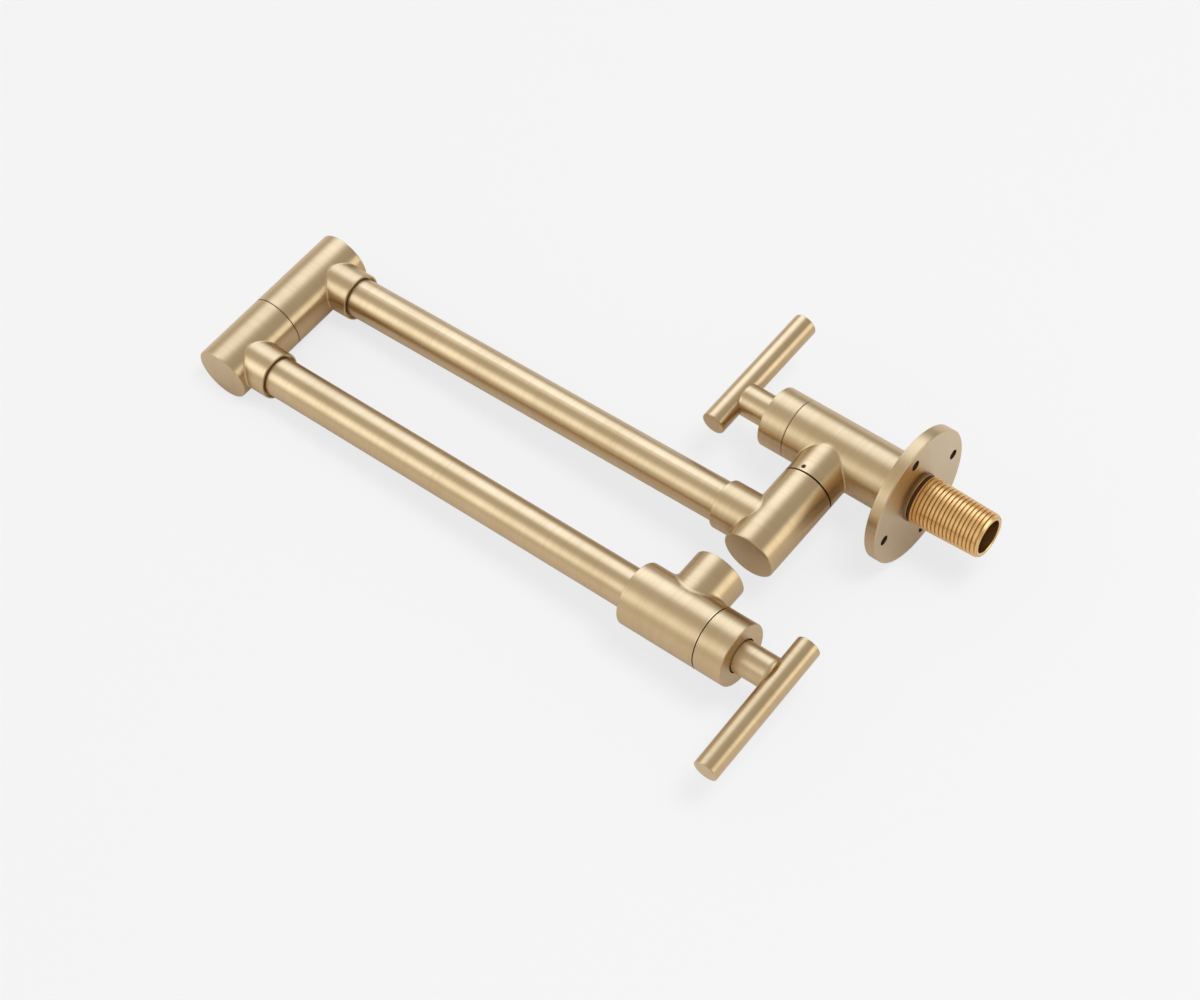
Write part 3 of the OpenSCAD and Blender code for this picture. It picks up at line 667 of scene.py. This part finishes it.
def make_coves():
    """Soft corners where the branches and collars grow out of the round bodies."""
    low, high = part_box("aerator_housing")
    spout_foot = Vector(((low.x + high.x) / 2, (low.y + high.y) / 2, TUBE_2_Z))
    mid_axis = Vector((MID.x, MID.y, 0))
    down = Vector((0, 0, -1))
    coves = {
        "spout_fillet": (
            "second_arm", spout_foot, (ARM_2, OUTLET_R), (down, BRANCH_R), SPOUT_COVE, SPOUT_SIDE,
        ),
        "branch_fillet": (
            "wall_side", Vector((0, ELBOW.y, 0)), (WALL_AXIS, INLET_R), (UP, BRANCH_R),
            SEAM_COVE, BRANCH_SIDE,
        ),
        "elbow_fillet": (
            "first_arm", Vector((ELBOW.x, ELBOW.y, TUBE_1_Z)), (UP, BRANCH_R),
            (-ARM_1, COLLAR_R), SEAM_COVE, COLLAR_SIDE,
        ),
        "mid_lower_fillet": (
            "first_arm", mid_axis + UP * TUBE_1_Z, (UP, MID_R), (ARM_1, COLLAR_R),
            SEAM_COVE, COLLAR_SIDE,
        ),
        "mid_upper_fillet": (
            "second_arm", mid_axis + UP * TUBE_2_Z, (UP, MID_R), (ARM_2, COLLAR_R),
            SEAM_COVE, COLLAR_SIDE,
        ),
    }
    for name, shape in coves.items():
        add_cove(name, *shape)


# Floor and world

FLOOR_FLANGE = Vector((30.5, -2.6, 0)) * MM  # the flange's rim lies here
FLOOR_MID = Vector((23.5, -289.0, 0)) * MM  # and the mid bodies' side here
FLOOR_SIZE = 8.0
FLOOR_EVEN = (0.736, 0.750, 0.772, 1)  # glow away from the object
FLOOR_PAINTED_SHADOW = (0.714, 0.728, 0.749, 1)  # glow darkened next to the object: a painted contact shadow
FLOOR_MIRRORED_SHADOW = (0.16, 0.095, 0.035, 1)  # painted shadow next to the object, dark and warm, as the metal mirrors the floor
FLOOR_SHADED = (0.185, 0.168, 0.151, 1)  # colour of the share that holds shadows
FLOOR_REFLECTED = (0.95, 0.91, 0.86, 1)  # colour that lights the object
SHADOW_REACH = 0.085
SHADOW_SAMPLES = 4
PALE = (0.912, 0.912, 0.912, 1)
PALE_SHARE = 0.25  # of the background in what glossy rays see
ROOM = (1.0, 1.0, 0.95, 1)
ROOM_LEVEL = 0.57
ROOM_SLOPE = (-0.05, -0.13, 0.18)


def make_floor():
    """A square sheet through the flange's rim and the mid bodies' side, seen from one side.

    Camera, transmission and glossy rays see an even glow with a painted contact
    shadow: ambient occlusion darkens it next to the object, more for glossy rays.
    On it lies the share of light that the floor lamp adds and the object keeps
    off. For other rays it is a plain pale floor.
    """
    run = (FLOOR_FLANGE - FLOOR_MID).normalized()
    mesh = bpy.data.meshes.new("floor")
    half = FLOOR_SIZE / 2
    corners = [
        FLOOR_FLANGE + run * (half * a) + UP * (half * b)
        for a, b in ((-1, -1), (-1, 1), (1, 1), (1, -1))
    ]
    mesh.from_pydata(corners, [], [(0, 1, 2, 3)])
    if mesh.polygons[0].normal.x > 0:
        mesh.flip_normals()
    floor = link(bpy.data.objects.new("floor", mesh))
    shader = Shader(bpy.data.materials.new("pale_floor_painted_shadow"))
    seen = shader.seen_rays()
    # Painted contact shadow: ambient occlusion darkens the glow next to the object, to a dark warm
    # tone in what the metal mirrors.
    contact_shade = shader.node(
        "ShaderNodeAmbientOcclusion", {"Distance": SHADOW_REACH}, samples=SHADOW_SAMPLES
    )
    mirrored = shader.node("ShaderNodeLightPath").outputs["Is Glossy Ray"]
    painted_shadow = shader.mixed(mirrored, FLOOR_PAINTED_SHADOW, FLOOR_MIRRORED_SHADOW, "RGBA")
    glow_and_shadow_colour = shader.mixed(contact_shade.outputs["AO"], painted_shadow, FLOOR_EVEN, "RGBA")
    even = shader.node("ShaderNodeEmission", {"Color": glow_and_shadow_colour})
    nothing = shader.node("ShaderNodeEmission", {"Strength": 0.0})
    glow = shader.node("ShaderNodeMixShader", {0: seen, 1: nothing.outputs[0], 2: even.outputs[0]})
    colour = shader.mixed(seen, FLOOR_REFLECTED, FLOOR_SHADED, "RGBA")
    shaded = shader.node("ShaderNodeBsdfDiffuse", {"Color": colour})
    both = shader.node("ShaderNodeAddShader", {0: shaded.outputs[0], 1: glow.outputs[0]})
    back = shader.node("ShaderNodeNewGeometry").outputs["Backfacing"]
    behind = shader.sums("MULTIPLY", back, seen)
    clear = shader.node("ShaderNodeBsdfTransparent")
    sheet = shader.node("ShaderNodeMixShader", {0: behind, 1: both.outputs[0], 2: clear.outputs[0]})
    dress(floor, shader.finish(sheet.outputs[0]))


def make_world():
    """A soft room, a little brighter towards +Z and -Y, before the pale background.

    Camera and transmission rays see the background alone. Glossy rays see it by
    PALE_SHARE and the room by the rest, and all other rays see the room.
    """
    world = bpy.data.worlds.new("room")
    shader = Shader(world)
    direction = shader.node("ShaderNodeTexCoord").outputs["Generated"]
    slope = shader.vector("DOT_PRODUCT", direction, ROOM_SLOPE)
    level = shader.sums("ADD", slope, ROOM_LEVEL)
    room = shader.node("ShaderNodeBackground", {"Color": ROOM, "Strength": level})
    pale = shader.node("ShaderNodeBackground", {"Color": PALE})
    seen = shader.seen_rays(PALE_SHARE)
    both = shader.node("ShaderNodeMixShader", {0: seen, 1: room.outputs[0], 2: pale.outputs[0]})
    bpy.context.scene.world = shader.finish(both.outputs[0], "World")


# Lamps: glow is the radiance of a panel's middle, where 1 is white

PANEL_AIM = Vector((0, -0.15, 0.05))
PANEL_CORE = 0.2  # share of the half width that has the full glow
PANELS = {
    "floor_panel": dict(
        place=(-1.785, 0.615, -0.12), size=(0.935, 0.935), glow=17.0, colour=(1.0, 1.0, 1.0),
        for_floor=True,
    ),
    "back_panel": dict(
        place=(-0.70, -0.64, -0.59), size=(1.48, 1.48), glow=2.5, colour=(0.60, 0.745, 1.0),
    ),
    "left_panel": dict(
        place=(-0.52, -0.80, 0.72), size=(1.0, 1.0), glow=2.15, colour=(0.70, 0.83, 1.0),
    ),
    "right_panel": dict(
        place=(-0.27, 0.79, -0.39), size=(1.0, 0.95), glow=1.95, colour=(0.92, 0.98, 1.0),
    ),
}


def make_panel(name, place, size, glow, colour, for_floor=False):
    """A soft panel aimed at the object.

    Its light fades from the middle to nothing at the edges, along both sides. One
    panel lights the floor and what else is matt; the others show in the metal.
    """
    data = bpy.data.lights.new(name, "AREA")
    data.shape = "RECTANGLE"
    data.size, data.size_y = size
    data.energy = glow * math.pi * size[0] * size[1]
    data.color = colour
    shader = Shader(data)
    spot = shader.node("ShaderNodeNewGeometry").outputs["Parametric"]
    sides = shader.node("ShaderNodeSeparateXYZ", {0: spot}).outputs
    fade = 1.0
    for side in ("X", "Y"):
        off = shader.sums("ABSOLUTE", shader.sums("MULTIPLY_ADD", sides[side], 2.0, -1.0))
        fade = shader.sums("MULTIPLY", shader.fall(off, PANEL_CORE, 1.0), fade)
    glowing = shader.node("ShaderNodeEmission", {"Strength": fade})
    shader.finish(glowing.outputs[0], "Light")
    lamp = link(bpy.data.objects.new(name, data))
    place = Vector(place)
    turn = (place - PANEL_AIM).to_track_quat("Z", "X")
    lamp.matrix_world = Matrix.Translation(place) @ turn.to_matrix().to_4x4()
    lamp.visible_camera = False
    lamp.visible_diffuse = for_floor
    lamp.visible_glossy = not for_floor


make_camera()
finishes = dress_cad_nodes()
make_shank(finishes["raw_brass"])
make_coves()
make_floor()
make_world()
for name, panel in PANELS.items():
    make_panel(name, **panel)
bpy.context.scene.view_settings.view_transform = "Standard"
